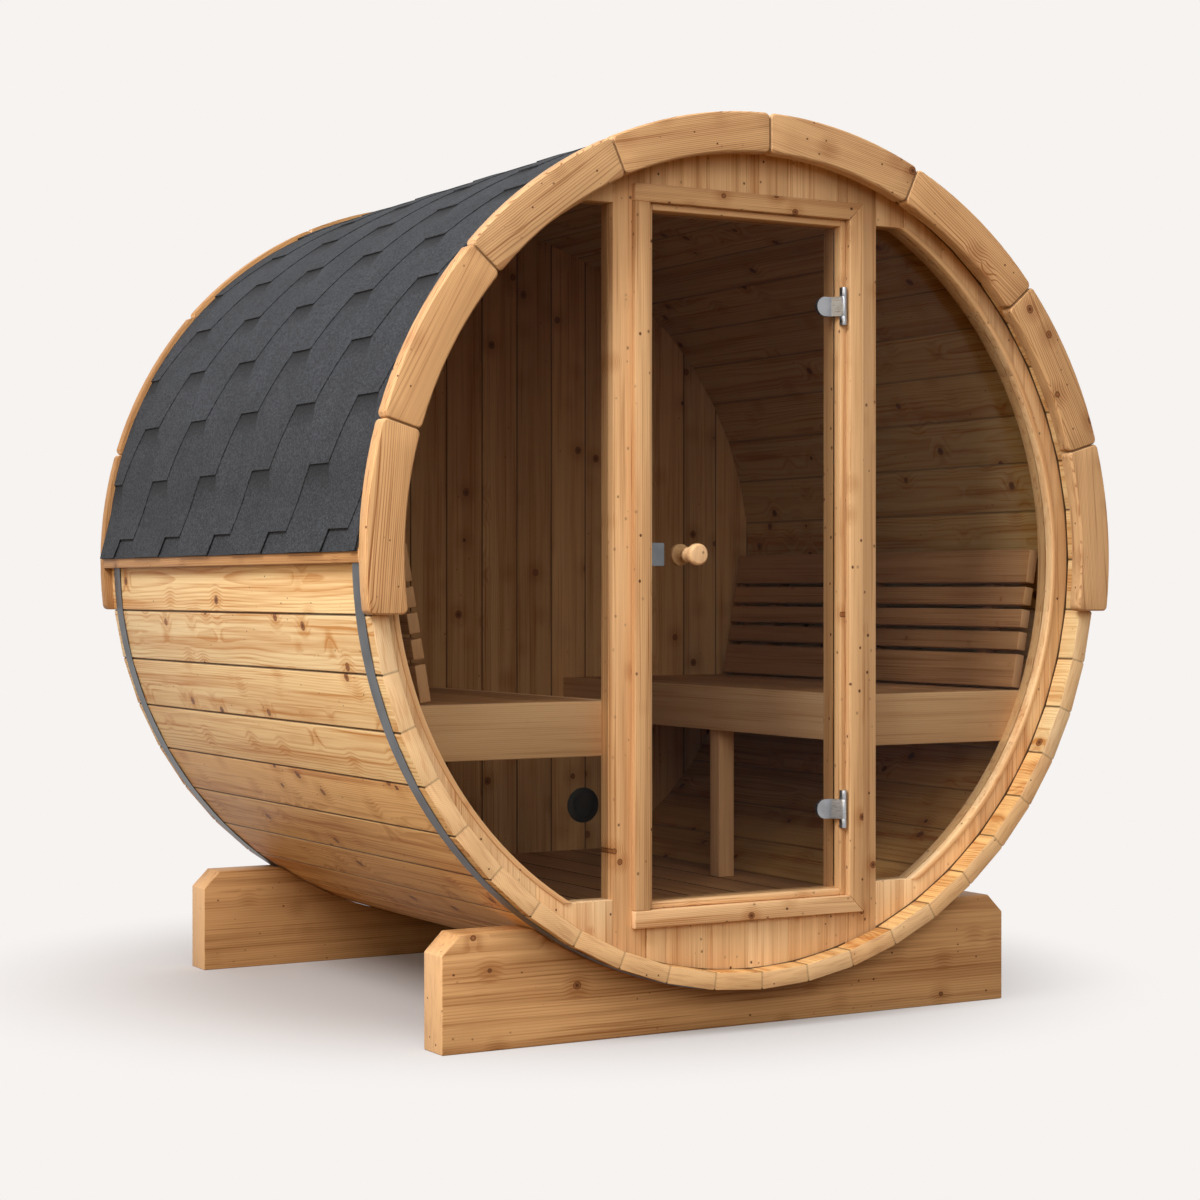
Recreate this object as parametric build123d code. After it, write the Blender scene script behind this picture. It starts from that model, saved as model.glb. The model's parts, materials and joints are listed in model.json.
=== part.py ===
from build123d import *
import os
from math import asin, cos, degrees, radians, sin, sqrt, tan

# Barrel sauna: a round cabin of timber staves on two cradles, with a glazed front and a glass door.
# All sizes are in millimetres. X runs to the right seen from the front, Y to the back and Z up.
# The origin is on the ground under the middle of the barrel.

# Fits
seam = 0.3                    # hairline gap between pieces that are set against each other
swing_clearance = 5.0         # between the door leaf and its lining
overrun = 5.0                 # extra length of every cutting shape

# Barrel of staves
barrel_length = 1700.0
barrel_flat_radius = 1038.0   # from the axis to the outer flat of a stave
ground_gap = 103.0            # lowest stave above the ground
stave_count = 48
stave_thickness = 42.0
stave_edge_ease = 3.5         # chamfer along both outer edges of a stave
croze_depth = 10.0            # groove in the staves that holds the end walls
croze_play = 4.0              # free space on each side of a wall in its groove

# Steel hoops
hoop_width = 46.0
hoop_thickness = 1.5
hoop_inset = 30.0             # from the end of the staves

# Cradles
cradle_side_inset = 228.0     # end of a cradle inside the widest part of the barrel
cradle_horn_rise = 170.0      # top of a cradle above the lowest stave
cradle_thickness = 95.0
cradle_chamfer = 46.0
front_cradle_inset = 95.0
rear_cradle_inset = 20.0

# Roof covering and eaves
roof_thickness = 6.0
roof_underlay = 0.5           # between the hoops and the covering
eave_overhang = 30.0          # lower edge of the covering outside the widest stave
eave_rise = 6.0               # lower edge of the covering above the barrel axis
eave_kick_angle = 7.0         # degrees above the axis where the covering leaves the barrel
batten_inset = 5.7            # face of the batten inside the lower edge of the covering
batten_height = 62.0
batten_drop = 20.0            # lower edge of the batten below the barrel axis
batten_bevel = 34.0           # height of the slope on top of the batten

# Trim arcs on the barrel ends
trim_reveal = 32.0            # trim inside the inner faces of the staves
trim_width = 96.0
trim_thickness = 36.0
trim_segments_per_side = 4
trim_segment_angle = 24.5
trim_drop = 134.0             # level lower end of the last segment below the barrel axis
trim_joint = 1.0
trim_corner_radius = 14.0
trim_edge_ease = 4.0

# End walls
wall_setback = 60.0           # outer wall face behind the end of the staves
wall_thickness = 58.0

# Door frame
opening_half_width = 288.0
threshold_rise = 29.0         # lower edge of the doorway above the floor
lining_thickness = 16.0
casing_width = 42.0
casing_thickness = 19.0

# Fixed panes beside the door
post_width = 92.0
rim_width = 50.0              # wood between the staves and a pane
pane_head_depth = 166.0       # top of a pane below the highest stave
pane_sill_depth = 188.0       # bottom of a pane above the lowest stave
pane_setback = 24.0
pane_thickness = 6.0
pane_groove_depth = 10.0

# Door leaf
leaf_setback = 19.0           # behind the outer wall face
leaf_thickness = 8.0

# Door hinges
hinge_end_distance = 214.0    # hinge centre from the end of the doorway
hinge_height = 93.0
hinge_leaf_height = 48.0
knuckle_radius = 7.0
pin_radius = 4.0
pin_clearance = 0.05
pin_stand = 9.0               # pin axis in front of the wall face
pin_inset = 12.0              # pin axis from the outer edge of the lining
hinge_back_gap = 0.5          # between the moving knuckle and the plate behind it
hinge_plate_reach = 62.0      # from the pin to the round end of the plate
hinge_plate_neck = 20.0       # from the pin to the bend of the plate
hinge_plate_thickness = 3.0
hinge_boss_radius = 6.0

# Door knob and catch
knob_edge_distance = 109.0    # knob axis from the free edge of the leaf
knob_rise = 5.0               # above the barrel axis
knob_length = 48.0
knob_head_radius = 26.0
knob_head_length = 17.0
knob_head_ease = 5.0
knob_neck_radius = 13.0
knob_foot_radius = 18.0
knob_spindle_radius = 4.0
catch_width = 38.0
catch_height = 55.0
catch_thickness = 3.0
catch_boss_radius = 4.0

# Floor
floor_rise = 131.0            # walking surface above the lowest stave
floor_thickness = 28.0
floor_board_count = 7
floor_board_gap = 5.0
bearer_height = 45.0
bearer_thickness = 45.0
bearer_place_shares = (0.06, 0.5, 0.94)

# Benches
bench_drop = 343.0            # seat below the barrel axis
bench_clearance = 2.0         # between a bench and the door casing
bench_back_gap = 19.0         # between the seat and the staves
bench_board_thickness = 28.0
bench_board_count = 4
bench_board_gap = 8.0
apron_height = 118.0
end_board_height = 130.0
rail_height = 60.0
rail_thickness = 45.0
leg_width = 48.0
leg_place = 779.0             # leg centre behind the front end of the staves

# Backrests
backrest_inset = 20.0         # foot of the right slats in front of the back edge of the seat
left_backrest_inset = 94.0    # the same on the left, where the seat is shallower
backrest_foot_gap = 8.0       # between the seat and the lowest slat
backrest_lean = 9.7           # degrees
backrest_slat_thickness = 28.0
backrest_slat_widths = (88.0, 48.0, 48.0, 48.0, 88.0)
backrest_slat_gap = 12.0
backrest_end_gap = 32.0       # between the slats and the end walls
upright_thickness = 40.0
upright_head_gap = 20.0       # top of the uprights below the top of the slats
upright_place_shares = (0.12, 0.5, 0.88)

# Air vent low on the rear wall
vent_side_gap = 68.0          # vent axis beyond the front edge of the right bench
vent_rise = 134.0             # vent axis above the floor
vent_radius = 53.0
vent_flange = 9.0
vent_pipe_radius = 40.0
vent_dish_radius = 38.0
vent_dish_depth = 5.0
vent_button_radius = 30.0

# Worked-out places
stave_half_angle = 180 / stave_count
barrel_corner_radius = barrel_flat_radius / cos(radians(stave_half_angle))
inner_flat_radius = barrel_flat_radius - stave_thickness
axis_height = barrel_flat_radius + ground_gap
seat_radius = inner_flat_radius - seam
front_end = -barrel_length / 2
rear_end = barrel_length / 2
wall_front = front_end + wall_setback
wall_back = wall_front + wall_thickness
rear_wall_front = rear_end - wall_setback - wall_thickness
rear_wall_back = rear_end - wall_setback
wall_radius = inner_flat_radius + croze_depth - seam
hoop_inner_radius = barrel_corner_radius + seam
hoop_outer_radius = hoop_inner_radius + hoop_thickness
roof_inner_radius = hoop_outer_radius + roof_underlay
eave_reach = barrel_flat_radius + eave_overhang
trim_inner_radius = inner_flat_radius - trim_reveal
trim_outer_radius = trim_inner_radius + trim_width
floor_level = floor_rise - inner_flat_radius
opening_half_height = -floor_level - threshold_rise
lining_half_width = opening_half_width - lining_thickness
lining_half_height = opening_half_height - lining_thickness
casing_half_width = opening_half_width + casing_width
casing_half_height = opening_half_height + casing_width
lining_back = wall_back + casing_thickness
post_edge = opening_half_width + post_width
pane_rim_radius = inner_flat_radius - rim_width
pane_top = inner_flat_radius - pane_head_depth
pane_bottom = inner_flat_radius - pane_sill_depth
pane_front = wall_front + pane_setback
leaf_half_width = lining_half_width - swing_clearance
leaf_half_height = lining_half_height - swing_clearance
leaf_front = wall_front + leaf_setback
leaf_back = leaf_front + leaf_thickness
pin_x = opening_half_width - pin_inset
pin_y = wall_front - pin_stand
hinge_offset = opening_half_height - hinge_end_distance
bench_edge = casing_half_width + bench_clearance
bench_inner_edge = bench_edge + bench_board_thickness + seam
bench_front = wall_back + bench_board_thickness
seat_underside = -bench_drop - bench_board_thickness
rail_underside = seat_underside - rail_height
bench_back = sqrt(seat_radius ** 2 - seat_underside ** 2) - bench_back_gap
leg_y = front_end + leg_place
backrest_foot = bench_back - backrest_inset
left_backrest_foot = bench_back - left_backrest_inset
vent_x = bench_edge + vent_side_gap
vent_level = floor_level + vent_rise


def section(y):
    """Plane across the barrel at a depth, with its origin on the barrel axis."""
    return Plane(origin=(0, y, axis_height), x_dir=(1, 0, 0), z_dir=(0, -1, 0))


def prism(face, y_front, y_back):
    """Solid with a section across the barrel, between two depths."""
    return extrude(section(y_front) * face, amount=y_front - y_back)


def block_face(left, right, low, high):
    """Rectangle across the barrel from its four limits."""
    return Pos((left + right) / 2, (low + high) / 2) * Rectangle(right - left, high - low)


def outline_face(*points):
    """Face inside a closed outline of straight lines."""
    return make_face(Polyline(*points, close=True))


def ring_face(inner_radius, outer_radius):
    """Face between two circles about the barrel axis."""
    return Circle(outer_radius) - Circle(inner_radius)


def turned(profile, x, z):
    """Solid turned about an axis along Y, from a profile of radius and depth."""
    face = Plane.XY * make_face(profile)
    return Pos(x, 0, axis_height + z) * revolve(face, Axis.Y)


def both_sides(*solids):
    """The solids and their mirror images across the middle plane."""
    return [*solids, *[mirror(solid, Plane.YZ) for solid in solids]]


def place_along(start, end, shares):
    """Positions between two limits, from a table of shares."""
    return [start + (end - start) * share for share in shares]


def stave():
    """One stave with eased outer edges and a groove near each end for the end walls."""
    outer_half = barrel_flat_radius * tan(radians(stave_half_angle)) - seam / 2
    eased_half = (barrel_flat_radius - stave_edge_ease) * tan(radians(stave_half_angle)) - seam / 2
    inner_half = inner_flat_radius * tan(radians(stave_half_angle)) - seam / 2
    face = outline_face(
        (-inner_half, inner_flat_radius),
        (-eased_half, barrel_flat_radius - stave_edge_ease),
        (stave_edge_ease - outer_half, barrel_flat_radius),
        (outer_half - stave_edge_ease, barrel_flat_radius),
        (eased_half, barrel_flat_radius - stave_edge_ease),
        (inner_half, inner_flat_radius),
    )
    grooves = [
        prism(Circle(wall_radius + seam), front - croze_play, front + wall_thickness + croze_play)
        for front in (wall_front, rear_wall_front)
    ]
    return prism(face, front_end, rear_end) - grooves


def stave_panel(first, last):
    """Neighbouring staves from one up to another, counted clockwise from the top seen from the front."""
    pattern = stave()
    axis = Axis((0, 0, axis_height), (0, 1, 0))
    turns = [(2 * index + 1) * stave_half_angle for index in range(first, last)]
    return [pattern.rotate(axis, turn) for turn in turns]


def hoop(y_front):
    """Steel strap round the staves."""
    return prism(ring_face(hoop_inner_radius, hoop_outer_radius), y_front, y_front + hoop_width)


def cradle(y_front):
    """Cross beam with a round saddle, chamfered top corners and a groove where a hoop passes."""
    half = barrel_flat_radius - cradle_side_inset
    ground = -axis_height
    top = cradle_horn_rise - barrel_flat_radius
    face = outline_face(
        (-half, ground),
        (-half, top - cradle_chamfer),
        (cradle_chamfer - half, top),
        (half - cradle_chamfer, top),
        (half, top - cradle_chamfer),
        (half, ground),
    )
    beam = prism(face - Circle(barrel_corner_radius + seam), y_front, y_front + cradle_thickness)
    hoop_fronts = (front_end + hoop_inset, rear_end - hoop_inset - hoop_width)
    reliefs = [
        prism(Circle(hoop_outer_radius + seam), front - seam, front + hoop_width + seam)
        for front in hoop_fronts
    ]
    return beam - reliefs


def roof():
    """Covering over the upper half of the barrel, kicked out over the eaves."""
    kick = radians(eave_kick_angle)
    roof_outer_radius = roof_inner_radius + roof_thickness
    arc = 180 - 2 * eave_kick_angle
    inner = CenterArc((0, 0), roof_inner_radius, eave_kick_angle, arc)
    outer = CenterArc((0, 0), roof_outer_radius, eave_kick_angle, arc)
    edges = [inner, outer]
    for side, end in ((1, 0), (-1, 1)):
        inner_edge = (side * eave_reach, eave_rise)
        fall = (roof_inner_radius * cos(kick) - eave_reach, roof_inner_radius * sin(kick) - eave_rise)
        length = sqrt(fall[0] ** 2 + fall[1] ** 2)
        across = (fall[1] / length * roof_thickness, -fall[0] / length * roof_thickness)
        outer_edge = (side * (eave_reach + across[0]), eave_rise + across[1])
        edges += [Line(inner @ end, inner_edge), Line(inner_edge, outer_edge), Line(outer_edge, outer @ end)]
    return prism(make_face(edges), front_end, rear_end)


def eave_batten():
    """Horizontal batten under the lower edge of the covering, on the right."""
    inner = hoop_outer_radius + seam
    outer = eave_reach - batten_inset
    low = -batten_drop
    high = low + batten_height
    face = outline_face(
        (inner, low),
        (outer, low),
        (outer, high - batten_bevel),
        ((inner + outer) / 2, high),
        (inner, high),
    )
    return prism(face, front_end, rear_end)


def trim_segment(index):
    """One arc of the front trim on the right, counted down from the top, with rounded corners."""
    half_joint = degrees(trim_joint / 2 / trim_outer_radius)
    start = index * trim_segment_angle + half_joint
    ends = [start - 2 * half_joint + trim_segment_angle] * 2
    if index == trim_segments_per_side - 1:
        ends = [90 + degrees(asin(trim_drop / radius)) for radius in (trim_inner_radius, trim_outer_radius)]
    inner = CenterArc((0, 0), trim_inner_radius, 90 - ends[0], ends[0] - start)
    outer = CenterArc((0, 0), trim_outer_radius, 90 - ends[1], ends[1] - start)
    face = make_face([inner, outer, Line(inner @ 0, outer @ 0), Line(inner @ 1, outer @ 1)])
    face = fillet(face.vertices(), trim_corner_radius)
    solid = prism(face, front_end - trim_thickness, front_end)
    front_face = solid.faces().sort_by(Axis.Y)[0]
    return chamfer(front_face.edges(), trim_edge_ease)


def front_trim():
    """Arcs over the upper half of the front end."""
    return both_sides(*[trim_segment(index) for index in range(trim_segments_per_side)])


def pane_face(margin):
    """Half-moon of the right pane opening, grown by a margin on every side."""
    area = block_face(post_edge - margin, barrel_flat_radius, -pane_bottom - margin, pane_top + margin)
    return area & Circle(pane_rim_radius + margin)


def pane():
    """Fixed pane on the right, held in grooves all round."""
    return prism(pane_face(pane_groove_depth - seam), pane_front, pane_front + pane_thickness)


def pane_groove():
    """Space that the pane takes up in the wood round it."""
    return prism(pane_face(pane_groove_depth), pane_front - seam, pane_front + pane_thickness + seam)


def front_post():
    """Upright of the front wall between the doorway and the right pane."""
    face = block_face(opening_half_width + seam, post_edge, -wall_radius, wall_radius) & Circle(wall_radius)
    return prism(face, wall_front, wall_back) - pane_groove()


def front_rim():
    """Rim of the front wall round the right pane, seated in the groove of the staves."""
    area = block_face(post_edge + seam, wall_radius, -wall_radius, wall_radius) & Circle(wall_radius)
    return prism(area - pane_face(0), wall_front, wall_back) - pane_groove()


def front_wall_between(low, high):
    """Boarded piece of the front wall between the posts, over or under the doorway."""
    face = block_face(-opening_half_width, opening_half_width, low, high) & Circle(wall_radius)
    return prism(face, wall_front, wall_back)


def frame_boards(half_width, half_height, board, foot, y_front, y_back):
    """Two uprights on a foot level and two cross boards round a rectangle, set on its outside."""
    top = half_height + board
    upright = prism(block_face(half_width, half_width + board, foot, top), y_front, y_back)
    inner = half_width - seam
    cross = [
        prism(block_face(-inner, inner, low, high), y_front, y_back)
        for low, high in ((foot, -half_height), (half_height, top))
    ]
    return [*both_sides(upright), *cross]


def door_lining():
    """Boards that line the doorway through the wall."""
    board = lining_thickness - seam
    foot = -lining_half_height - board
    return frame_boards(lining_half_width, lining_half_height, board, foot, wall_front, lining_back)


def front_casing():
    """Flat casing round the doorway outside, butted on the left and mitred on the hinge side."""
    y_front = wall_front - casing_thickness
    width = opening_half_width
    height = opening_half_height
    top = casing_half_height
    side = opening_half_width + casing_width
    head = make_face(Polyline((-side, height), (width, height), (side, top), (-side, top), close=True))
    left = block_face(-side, -width, seam - height, height - seam)
    right = make_face(Polyline(
        (width, seam - height), (side, seam - top), (side, top - seam), (width, height - seam), close=True
    ))
    faces = (head, mirror(head, Plane.XZ), left, right)
    return [prism(face, y_front, wall_front) for face in faces]


def inner_casing():
    """Flat casing round the doorway on the inside, standing on the floor."""
    return frame_boards(
        opening_half_width, opening_half_height, casing_width, floor_level, wall_back, lining_back
    )


def rear_wall():
    """Round rear wall with the hole for the air vent."""
    face = Circle(wall_radius) - Pos(vent_x, vent_level) * Circle(vent_pipe_radius)
    return prism(face, rear_wall_front, rear_wall_back)


def air_vent():
    """Round vent through the rear wall, dished inside the cabin and closed by a button."""
    inside = rear_wall_front
    outside = rear_wall_back
    profile = Polyline(
        (0, inside - vent_flange),
        (vent_button_radius, inside - vent_flange),
        (vent_button_radius, inside - vent_flange + vent_dish_depth),
        (vent_dish_radius, inside - vent_flange + vent_dish_depth),
        (vent_dish_radius, inside - vent_flange),
        (vent_radius, inside - vent_flange / 2),
        (vent_radius, inside),
        (vent_pipe_radius - seam, inside),
        (vent_pipe_radius - seam, outside),
        (vent_radius, outside),
        (vent_radius, outside + vent_flange / 2),
        (vent_dish_radius, outside + vent_flange),
        (0, outside + vent_flange),
        close=True,
    )
    return turned(profile, vent_x, vent_level)


def floor_boards():
    """Floor boards along the barrel, the outer ones bevelled to the staves."""
    half = sqrt(seat_radius ** 2 - floor_level ** 2)
    pitch = (2 * half + floor_board_gap) / floor_board_count
    lefts = [index * pitch - half for index in range(floor_board_count)]
    return [
        prism(
            block_face(left, left + pitch - floor_board_gap, floor_level - floor_thickness, floor_level)
            & Circle(seat_radius),
            wall_back + seam,
            rear_wall_front - seam,
        )
        for left in lefts
    ]


def floor_bearers():
    """Cross bearers under the floor boards, cut to the curve of the staves."""
    top = floor_level - floor_thickness
    face = block_face(-seat_radius, seat_radius, top - bearer_height, top) & Circle(seat_radius)
    first = wall_back + seam
    last = rear_wall_front - seam - bearer_thickness
    return [prism(face, y, y + bearer_thickness) for y in place_along(first, last, bearer_place_shares)]


def bench_seat():
    """Seat boards of the right bench."""
    width = bench_back - bench_inner_edge
    pitch = (width + bench_board_gap) / bench_board_count
    lefts = [bench_inner_edge + index * pitch for index in range(bench_board_count)]
    return [
        prism(
            block_face(left, left + pitch - bench_board_gap, seat_underside, -bench_drop),
            bench_front + seam,
            rear_wall_front - seam,
        )
        for left in lefts
    ]


def bench_apron():
    """Long front board of the right bench."""
    face = block_face(bench_edge, bench_edge + bench_board_thickness, -bench_drop - apron_height, -bench_drop)
    return prism(face, bench_front + seam, rear_wall_front - seam)


def bench_end():
    """Board that closes the right bench behind the front wall, cut to the curve of the staves."""
    face = block_face(bench_edge, seat_radius, -bench_drop - end_board_height, -bench_drop)
    return prism(face & Circle(seat_radius), wall_back, bench_front)


def bench_rails():
    """Cross rails under the seat of the right bench, from the apron to the staves."""
    face = block_face(bench_inner_edge, seat_radius, rail_underside, seat_underside) & Circle(seat_radius)
    starts = (
        bench_front + seam,
        leg_y - rail_thickness / 2,
        rear_wall_front - seam - rail_thickness,
    )
    return [prism(face, y, y + rail_thickness) for y in starts]


def bench_leg():
    """Square leg under the middle rail of the right bench."""
    face = block_face(bench_inner_edge, bench_inner_edge + leg_width, floor_level, rail_underside)
    return prism(face, leg_y - leg_width / 2, leg_y + leg_width / 2)


def on_backrest(face, foot):
    """Face moved from the foot of a backrest's seat side to its place and lean on the right."""
    return Pos(foot, backrest_foot_gap - bench_drop) * Rot(Z=-backrest_lean) * face


def backrest_height():
    """Height of the row of slats along its lean."""
    return sum(backrest_slat_widths) + backrest_slat_gap * (len(backrest_slat_widths) - 1)


def backrest_slats(foot):
    """Slats of a backrest on the right, a wide one below and above the narrow ones."""
    solids = []
    low = 0
    for width in backrest_slat_widths:
        face = on_backrest(block_face(0, backrest_slat_thickness, low, low + width), foot)
        solids.append(prism(face, wall_back + backrest_end_gap, rear_wall_front - backrest_end_gap))
        low += width + backrest_slat_gap
    return solids


def backrest_uprights(foot):
    """Uprights of a backrest on the right, between the slats and the curve of the staves."""
    top = backrest_height() - upright_head_gap
    behind = on_backrest(
        block_face(backrest_slat_thickness, backrest_slat_thickness + barrel_flat_radius, -bench_drop, top),
        foot,
    )
    above_seat = block_face(0, seat_radius, -bench_drop, barrel_flat_radius)
    face = behind & above_seat & Circle(seat_radius)
    first = wall_back + backrest_end_gap
    last = rear_wall_front - backrest_end_gap - upright_thickness
    return [prism(face, y, y + upright_thickness) for y in place_along(first, last, upright_place_shares)]


def upright_cylinder(radius, low, high):
    """Cylinder on the hinge axis between two heights."""
    base = (Align.CENTER, Align.CENTER, Align.MIN)
    return Pos(pin_x, pin_y, low) * Cylinder(radius, high - low, align=base)


def plan_prism(face, low, high):
    """Solid with a section seen from above, between two heights."""
    return extrude(Pos(0, 0, low) * face, amount=high - low)


def hinge_frame(centre):
    """Fixed half of a hinge: two knuckles, the pin through them and the plate on the lining."""
    low = centre - hinge_height / 2
    high = centre + hinge_height / 2
    gap_low = centre - hinge_leaf_height / 2 - seam
    gap_high = centre + hinge_leaf_height / 2 + seam
    foot = block_face(pin_x - knuckle_radius, pin_x + knuckle_radius, pin_y, wall_front)
    solid = upright_cylinder(pin_radius, low, high)
    for start, end in ((low, gap_low), (gap_high, high)):
        solid += upright_cylinder(knuckle_radius, start, end)
        solid += plan_prism(foot, start, end)
    plate_front = pin_y + knuckle_radius + hinge_back_gap
    plate = block_face(pin_x - knuckle_radius, pin_x + knuckle_radius, plate_front, wall_front)
    return solid + plan_prism(plate, low, high)


def hinge_leaf(centre):
    """Moving half of a hinge: knuckle, bent arm and two plates that clamp the glass."""
    low = centre - hinge_leaf_height / 2
    high = centre + hinge_leaf_height / 2
    half_plate = hinge_plate_thickness / 2
    bend_x = pin_x - hinge_plate_neck
    arm = outline_face(
        (bend_x, leaf_front),
        (bend_x, leaf_front - hinge_plate_thickness),
        (pin_x - knuckle_radius, pin_y - half_plate),
        (pin_x, pin_y - half_plate),
        (pin_x, pin_y + half_plate),
        (pin_x - knuckle_radius + half_plate, pin_y + half_plate),
    )
    round_end = hinge_leaf_height / 2
    boss_x = pin_x - hinge_plate_reach + round_end
    level = centre - axis_height
    plate = block_face(boss_x, bend_x, level - round_end, level + round_end)
    plate += Pos(boss_x, level) * Circle(round_end)
    solid = upright_cylinder(knuckle_radius, low, high) + plan_prism(arm, low, high)
    solid += prism(plate, leaf_front - hinge_plate_thickness, leaf_front)
    solid += prism(plate, leaf_back, leaf_back + hinge_plate_thickness)
    solid += prism(Pos(boss_x, level) * Circle(hinge_boss_radius), leaf_front, leaf_back)
    return solid - upright_cylinder(pin_radius + pin_clearance, low - overrun, high + overrun)


def knob_place():
    """Place of the knob axis across the barrel."""
    return knob_edge_distance - leaf_half_width, knob_rise


def catch_place():
    """Centre of the catch plate across the barrel."""
    return catch_width / 2 - leaf_half_width, knob_rise


def knob_half(face_y, direction):
    """Turned knob on one side of the glass, from its foot to its rounded head."""
    tip = face_y + direction * knob_length
    head_back = tip - direction * knob_head_length
    waist = (face_y + head_back) / 2
    foot = Line((0, face_y), (knob_foot_radius, face_y))
    neck = ThreePointArc(foot @ 1, (knob_neck_radius, waist), (knob_head_radius, head_back))
    rim = Line(neck @ 1, (knob_head_radius, tip - direction * knob_head_ease))
    ease = Line(rim @ 1, (knob_head_radius - knob_head_ease, tip))
    front = Line(ease @ 1, (0, tip))
    back = Line(front @ 1, foot @ 0)
    return turned([foot, neck, rim, ease, front, back], *knob_place())


def door_knob():
    """Pair of turned wooden knobs on one spindle through the glass."""
    spindle = Pos(*knob_place()) * Circle(knob_spindle_radius)
    solid = knob_half(leaf_front, -1) + knob_half(leaf_back, 1)
    return solid + prism(spindle, leaf_front, leaf_back)


def door_catch():
    """Catch plates on both sides of the glass at its free edge, joined through it."""
    x, z = catch_place()
    plate = Pos(x, z) * Rectangle(catch_width, catch_height)
    solid = prism(plate, leaf_front - catch_thickness, leaf_front)
    solid += prism(plate, leaf_back, leaf_back + catch_thickness)
    return solid + prism(Pos(x, z) * Circle(catch_boss_radius), leaf_front, leaf_back)


def door_glass():
    """Frameless glass leaf, drilled for the hinges, the knob and the catch."""
    face = Rectangle(2 * leaf_half_width, 2 * leaf_half_height)
    boss_x = pin_x - hinge_plate_reach + hinge_leaf_height / 2
    for level in (hinge_offset, -hinge_offset):
        face -= Pos(boss_x, level) * Circle(hinge_boss_radius + seam)
    face -= Pos(*knob_place()) * Circle(knob_spindle_radius + seam)
    face -= Pos(*catch_place()) * Circle(catch_boss_radius + seam)
    return prism(face, leaf_front, leaf_back)


def nodes():
    """Every piece of the sauna by name."""
    panel_names = ("top_right", "side_right", "bottom_right", "bottom_left", "side_left", "top_left")
    limits = [stave_count * index // len(panel_names) for index in range(len(panel_names) + 1)]
    pieces = {
        f"staves_{name}": stave_panel(first, last)
        for name, first, last in zip(panel_names, limits, limits[1:])
    }
    rear_cradle_front = rear_end - rear_cradle_inset - cradle_thickness
    hoops = [hoop(front_end + hoop_inset), hoop(rear_end - hoop_inset - hoop_width)]
    trim = front_trim()
    right_pieces = {
        "front_post": front_post(),
        "front_rim": front_rim(),
        "pane": pane(),
        "bench_seat": bench_seat(),
    }
    for name, piece in right_pieces.items():
        solids = piece if isinstance(piece, list) else [piece]
        pieces[f"{name}_right"] = solids
        pieces[f"{name}_left"] = [mirror(solid, Plane.YZ) for solid in solids]
    left_slats = backrest_slats(left_backrest_foot)
    left_uprights = backrest_uprights(left_backrest_foot)
    pieces |= {
        "backrest_right": backrest_slats(backrest_foot),
        "backrest_left": [mirror(solid, Plane.YZ) for solid in left_slats],
        "cradle_front": [cradle(front_end + front_cradle_inset)],
        "cradle_rear": [cradle(rear_cradle_front)],
        "hoops": hoops,
        "roof": [roof()],
        "eave_battens": both_sides(eave_batten()),
        "trim_front": trim,
        "trim_rear": [mirror(solid, Plane.XZ) for solid in trim],
        "front_wall_head": [front_wall_between(opening_half_height + seam, wall_radius)],
        "front_wall_sill": [front_wall_between(-wall_radius, -opening_half_height - seam)],
        "door_lining": door_lining(),
        "door_casing": front_casing(),
        "inner_casing": inner_casing(),
        "rear_wall": [rear_wall()],
        "air_vent": [air_vent()],
        "floor": floor_boards(),
        "floor_bearers": floor_bearers(),
        "bench_aprons": both_sides(bench_apron()),
        "bench_ends": both_sides(bench_end()),
        "bench_rails": both_sides(*bench_rails()),
        "bench_leg": [bench_leg()],
        "backrest_uprights": [
            *backrest_uprights(backrest_foot),
            *(mirror(solid, Plane.YZ) for solid in left_uprights),
        ],
        "hinge_frame_upper": [hinge_frame(axis_height + hinge_offset)],
        "hinge_frame_lower": [hinge_frame(axis_height - hinge_offset)],
        "hinge_leaf_upper": [hinge_leaf(axis_height + hinge_offset)],
        "hinge_leaf_lower": [hinge_leaf(axis_height - hinge_offset)],
        "door_glass": [door_glass()],
        "door_knob": [door_knob()],
        "door_catch": [door_catch()],
    }
    return pieces


os.makedirs("parts", exist_ok=True)
for node, solids in nodes().items():
    export_step(Compound([part for solid in solids for part in solid.solids()]), f"parts/{node}.step")
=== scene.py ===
import bmesh
import bpy
import json
import random
from math import asin, atan2, cos, floor, pi, radians, sin, sqrt
from mathutils import Matrix, Vector


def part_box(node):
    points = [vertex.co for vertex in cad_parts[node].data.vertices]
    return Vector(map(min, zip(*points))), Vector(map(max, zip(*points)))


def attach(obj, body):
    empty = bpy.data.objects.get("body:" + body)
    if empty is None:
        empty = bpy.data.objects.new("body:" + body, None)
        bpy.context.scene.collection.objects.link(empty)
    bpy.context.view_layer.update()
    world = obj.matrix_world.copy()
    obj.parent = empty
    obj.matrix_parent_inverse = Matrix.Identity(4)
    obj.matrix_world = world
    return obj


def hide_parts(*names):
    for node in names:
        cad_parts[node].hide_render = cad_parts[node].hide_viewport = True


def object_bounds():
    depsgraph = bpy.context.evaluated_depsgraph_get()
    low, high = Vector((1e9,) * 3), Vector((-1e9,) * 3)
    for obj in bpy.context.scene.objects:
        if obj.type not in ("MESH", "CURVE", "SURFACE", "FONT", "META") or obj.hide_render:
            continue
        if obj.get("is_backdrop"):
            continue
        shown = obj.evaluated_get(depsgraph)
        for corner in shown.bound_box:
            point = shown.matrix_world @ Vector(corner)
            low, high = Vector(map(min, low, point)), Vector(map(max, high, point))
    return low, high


# Barrel sauna: timber, shingles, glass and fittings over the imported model. All sizes are in metres.

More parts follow.
